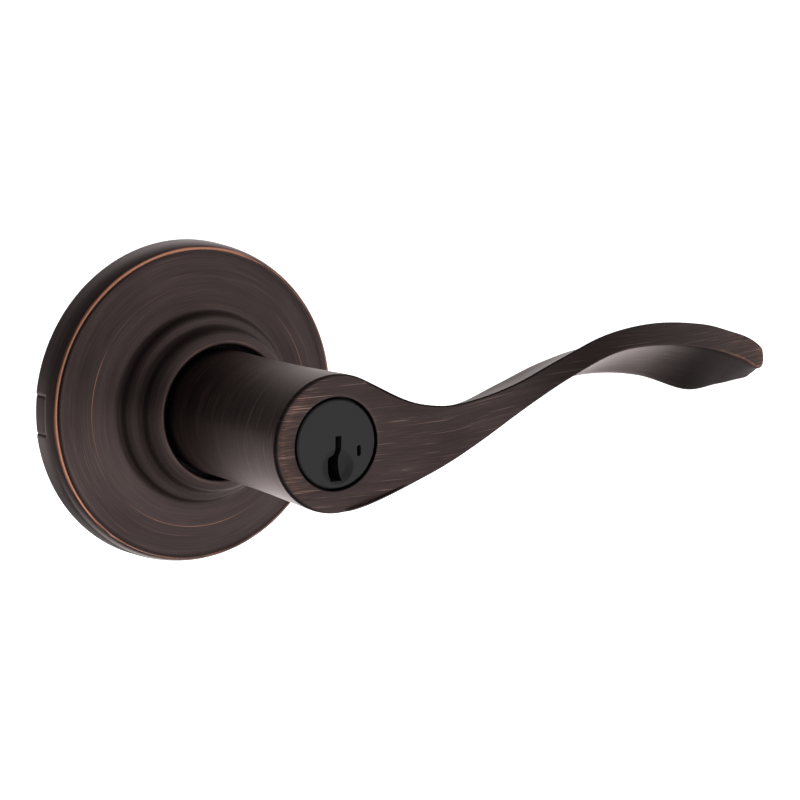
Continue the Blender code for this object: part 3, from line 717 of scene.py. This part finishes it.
FACE_ROWS = 5
around_brush = np.concatenate([lengthways(inside[:, :FACE_ROWS]),
                               round_ways(inside[:, FACE_ROWS:], -inside[:, FACE_ROWS:, 1]),
                               round_ways(wall, -wall[..., 1])], axis=1)
side_step = np.linalg.norm(np.diff(bar_points, axis=1), axis=-1)
side_run = np.concatenate([0 * side_step[:, :1], np.cumsum(side_step, axis=1)], axis=1)
bar_brush = np.stack([bar_points[..., 0], 0 * side_run, 40 + side_run], -1)
bar_brush[:, :CHAIN + 1] = lengthways(bar_points[:, :CHAIN + 1])
edge_brush = lengthways(edge)
print("brushed points:", around_brush.shape[:2], edge_brush.shape[:2], bar_brush.shape[:2])

# %% Wear and painted shade of the lever
# Columns and rows of the grids are marked one by one, and smooth steps fade each mark in and out.
left_side = smooth_step(-np.cos(columns), 0.1, 0.9)[:, None]
around_wear = np.zeros(around.shape[:2])
around_wear[:, len(INSIDE):] = 0.10
around_wear[:, :FACE_ROWS] = 0.40 * left_side * np.array([0.7, 1.0, 0.6, 0.4, 0.2])
# Painted shade inside the cylinder's hole and down the bore.
around_shade = np.zeros(around.shape[:2])
around_shade[:, FACE_ROWS:len(INSIDE)] = 0.8
edge_wear = np.zeros(edge.shape[:2])
# Painted shade along the face's rounded edge: a dark line that fades out towards the bar's lower side.
edge_shade = 0.75 * np.sin(np.linspace(0, math.pi, ARC + 1)) * (
    1 - smooth_step(hub_angles, math.radians(235), math.radians(268)))[:, None]
along = bar_points[..., 0]
bar_wear = np.zeros(along.shape)
crease = slice(CHAIN - 1, CHAIN + ARC + 1)
bar_wear[:, crease] = 0.9 * smooth_step(along[:, crease], 92, 108)
bar_wear += 0.25 * smooth_step(along, 108.0, 111.0)
bar_wear[:, :CHAIN] += 0.22 * smooth_step(along[:, :CHAIN], 88, 106)
# Painted shade and painted dark reflection: under the bar near its tip, and as a dark line along the upper
# front edge.
bar_shade = np.zeros(along.shape)
under = slice(CHAIN + ARC - 2, CHAIN + ARC + SIDES[0] + 3)
bar_shade[:, under] = 0.88 * smooth_step(along[:, under], 80, 96)
bar_shade[:, -ARC:] = 0.85 * smooth_step(along[:, -ARC:], 5, 9) * (1 - smooth_step(along[:, -ARC:], 108, 111))
# Prints the most copper and the most painted shade on the bar.
print("most copper on the bar:", round(bar_wear.max(), 2), "most soot:", round(bar_shade.max(), 2))

# %% Lever surface
parts = [around.reshape(-1, 3), edge.reshape(-1, 3), bar_points.reshape(-1, 3)]
starts = np.cumsum([0] + [len(part) for part in parts])
faces = np.concatenate([grid_faces(0, *around.shape[:2], wrap_rows=True),
                        grid_faces(starts[1], *edge.shape[:2]),
                        grid_faces(starts[2], *bar_points.shape[:2], wrap_columns=True)])
brush = np.concatenate([around_brush.reshape(-1, 3), edge_brush.reshape(-1, 3), bar_brush.reshape(-1, 3)])
wear = np.concatenate([around_wear.ravel(), edge_wear.ravel(), bar_wear.ravel()])
shade = np.concatenate([around_shade.ravel(), edge_shade.ravel(), bar_shade.ravel()])
lever = make_piece("lever_skin", np.concatenate(parts), faces,
                   {"brush": brush, "wear": wear, "shade": shade}, lever_bronze)

# %% Catch's hole and lever piece
# A round drill is taken out of the neck's underside for the catch button.
turn = np.linspace(0, math.tau, DRILL_SIDES, endpoint=False)
ring = np.stack([CATCH_R * np.cos(turn), CATCH_R * np.sin(turn) - CATCH_DEPTH, 0 * turn], -1)
rings = ring + np.array([0.0, 0.0, 1.0]) * np.array(DRILL_HEIGHTS)[:, None, None]
ends = np.array([[0.0, -CATCH_DEPTH, DRILL_HEIGHTS[0]], [0.0, -CATCH_DEPTH, DRILL_HEIGHTS[-1]]])
drill_points = np.concatenate([np.repeat(ends[:1], DRILL_SIDES, 0), rings.reshape(-1, 3),
                               np.repeat(ends[1:], DRILL_SIDES, 0)])
drill_faces = grid_faces(0, len(DRILL_HEIGHTS) + 2, DRILL_SIDES, wrap_columns=True)
unworn = 0 * drill_points[:, 0]
# The drill's faces become the walls of the catch's hole, and their shade value of 0.6 paints shade into that
# hole.
drill = make_piece("catch_drill", drill_points, drill_faces,
                   {"brush": drill_points, "wear": unworn, "shade": 0.6 + unworn}, lever_bronze)
lever = cut_away(lever, drill)
print("lever faces after drilling:", len(lever.data.polygons))
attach(lever, "lever")
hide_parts("lever_handle")

# %% [markdown]
# ## The mechanism's metals
# The hidden pieces keep their shapes and only get a finish each: zinc plate, black zinc, turned brass,
# spring wire and nylon. The black cylinder face is a matt black with a fine speckle, and shade is painted
# into the round dimple that guides the key by making its black darker still.

# %% Black cylinder face
DIMPLE = (0.35 * MM, 0.0, -4.65 * MM)
black = Finish("black_plug_face", Metallic=0.2, Roughness=0.55, Specular_IOR_Level=0.3)
speckle = black.noise(black.place(), scale=4000.0, detail=2.0)
from_dimple = black.add("ShaderNodeVectorMath", {"operation": "SUBTRACT"}, {0: black.place(), 1: DIMPLE})
dimple = black.add("ShaderNodeVectorMath", {"operation": "LENGTH"},
                   {0: black.stretch(from_dimple, (1, 0, 1))}, output=1)
plain = black.mix(speckle, (0.0125, 0.012, 0.0125, 1), (0.019, 0.0182, 0.019, 1))
# Painted shade: the black inside the dimple is darker than on the rest of the face.
deep = black.mix(speckle, (0.006, 0.006, 0.006, 1), (0.010, 0.0095, 0.010, 1))
black.feed("Base Color", black.mix(dimple.step(3.3 * MM, 3.9 * MM), deep, plain))
black.bump(speckle, 0.2, 0.00002)
print("nodes in the black finish:", len(black.tree.nodes))


# %% Metals and nylon
def plated(name, light, dark, roughness, metallic=1.0, grain=1500.0):
    """A machined or plated surface: a fine grain in its colour and roughness."""
    finish = Finish(name, Metallic=metallic)
    fine = finish.noise(finish.stretch(finish.place(), (1.0, 0.25, 1.0)), scale=grain, detail=3.0)
    cloud = finish.noise(finish.place(), scale=120.0, detail=2.0)
    finish.feed("Base Color", finish.mix(cloud * 0.7 + fine * 0.3, light, dark))
    finish.feed("Roughness", roughness + fine * 0.15)
    finish.bump(fine, 0.15, 0.00002)
    return finish


mechanism = {
    "zinc_steel": plated("zinc_plate", (0.62, 0.63, 0.65, 1), (0.45, 0.46, 0.49, 1), 0.28),
    "black_zinc": plated("black_zinc_plate", (0.045, 0.045, 0.048, 1), (0.028, 0.028, 0.030, 1), 0.45),
    "brass": plated("turned_brass", (0.78, 0.60, 0.30, 1), (0.62, 0.44, 0.20, 1), 0.25),
    "spring_steel": plated("spring_wire", (0.50, 0.51, 0.53, 1), (0.33, 0.33, 0.35, 1), 0.22),
    "nylon": plated("natural_nylon", (0.85, 0.84, 0.79, 1), (0.78, 0.76, 0.70, 1), 0.45, metallic=0.0),
    "black_plug": black,
    "dark_bronze": rose_bronze,
}
for row in frame["record"]["subparts"]:
    mesh = nodes[row["node"]].data
    mesh.materials.clear()
    mesh.materials.append(mechanism[row["material_slot"]].material)

# %% [markdown]
# The looks have to keep close to the packed model's box.
